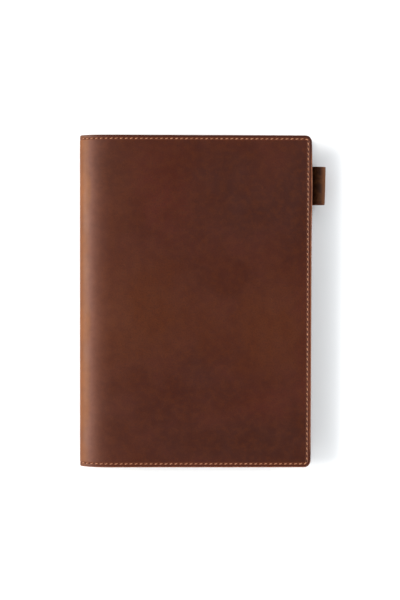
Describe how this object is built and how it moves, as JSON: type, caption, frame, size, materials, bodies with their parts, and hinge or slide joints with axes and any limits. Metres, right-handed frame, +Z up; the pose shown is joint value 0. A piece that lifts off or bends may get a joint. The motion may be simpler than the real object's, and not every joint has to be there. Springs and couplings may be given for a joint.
{
  "type": "leather notebook cover",
  "caption": "Closed leather cover for a notebook, with a rounded spine, stitched edges, inner pockets and a pen loop at the fore-edge.",
  "frame": {"origin": "middle of the underside of the whole object's box, where the back cover lies on the table", "axes": "+X from the spine to the fore-edge and pen loop, +Y to the head, +Z up through the front cover"},
  "size_m": [0.1654, 0.222, 0.018],
  "materials": {
    "cover_leather": "waxed pull-up leather, satin, darker and lighter where it has been handled",
    "pocket_leather": "pocket leather, satin, slightly lighter than the cover",
    "loop_leather": "waxed strip leather, satin",
    "thread": "waxed polyester thread, pale tan",
    "case_board": "cover board with dark paper-cloth facing, matt",
    "case_cloth": "dark book cloth, matt",
    "endpaper": "ivory endpaper, matt",
    "page_paper": "ivory pages, matt",
    "lining_cloth": "open-weave spine lining, natural",
    "band_cloth": "striped woven band"
  },
  "bodies": {
    "back": {"back_panel": "cover_leather", "back_sleeve": "pocket_leather", "back_stitching": "thread", "pen_loop": "loop_leather", "lower_hinge_leather": "cover_leather", "lower_hinge_stitching": "thread", "notebook_back_board": "case_board", "lower_case_joint": "case_cloth", "back_endpaper": "endpaper", "signatures": "page_paper", "front_flyleaf": "endpaper", "spine_lining": "lining_cloth", "head_band": "band_cloth", "tail_band": "band_cloth"},
    "spine": {"spine_panel": "cover_leather", "spine_stitching": "thread", "notebook_spine_strip": "case_cloth"},
    "front": {"front_panel": "cover_leather", "front_sleeve": "pocket_leather", "front_stitching": "thread", "upper_hinge_leather": "cover_leather", "upper_hinge_stitching": "thread", "upper_case_joint": "case_cloth", "card_slot_upper": "pocket_leather", "card_slot_middle": "pocket_leather", "card_slot_lower": "pocket_leather", "card_slot_stitching": "thread", "notebook_front_board": "case_board", "front_pastedown": "endpaper"}
  },
  "joints": [
    {"name": "spine_fold", "type": "hinge", "parent": "back", "child": "spine", "pos_m": [-0.08038, 0, 0.00232], "axis": [0, -1, 0], "range_deg": [0, 90], "deforming": ["lower_hinge_leather", "lower_hinge_stitching", "lower_case_joint"]},
    {"name": "front_fold", "type": "hinge", "parent": "spine", "child": "front", "pos_m": [-0.08038, 0, 0.01568], "axis": [0, -1, 0], "range_deg": [0, 90], "deforming": ["upper_hinge_leather", "upper_hinge_stitching", "upper_case_joint"]}
  ]
}
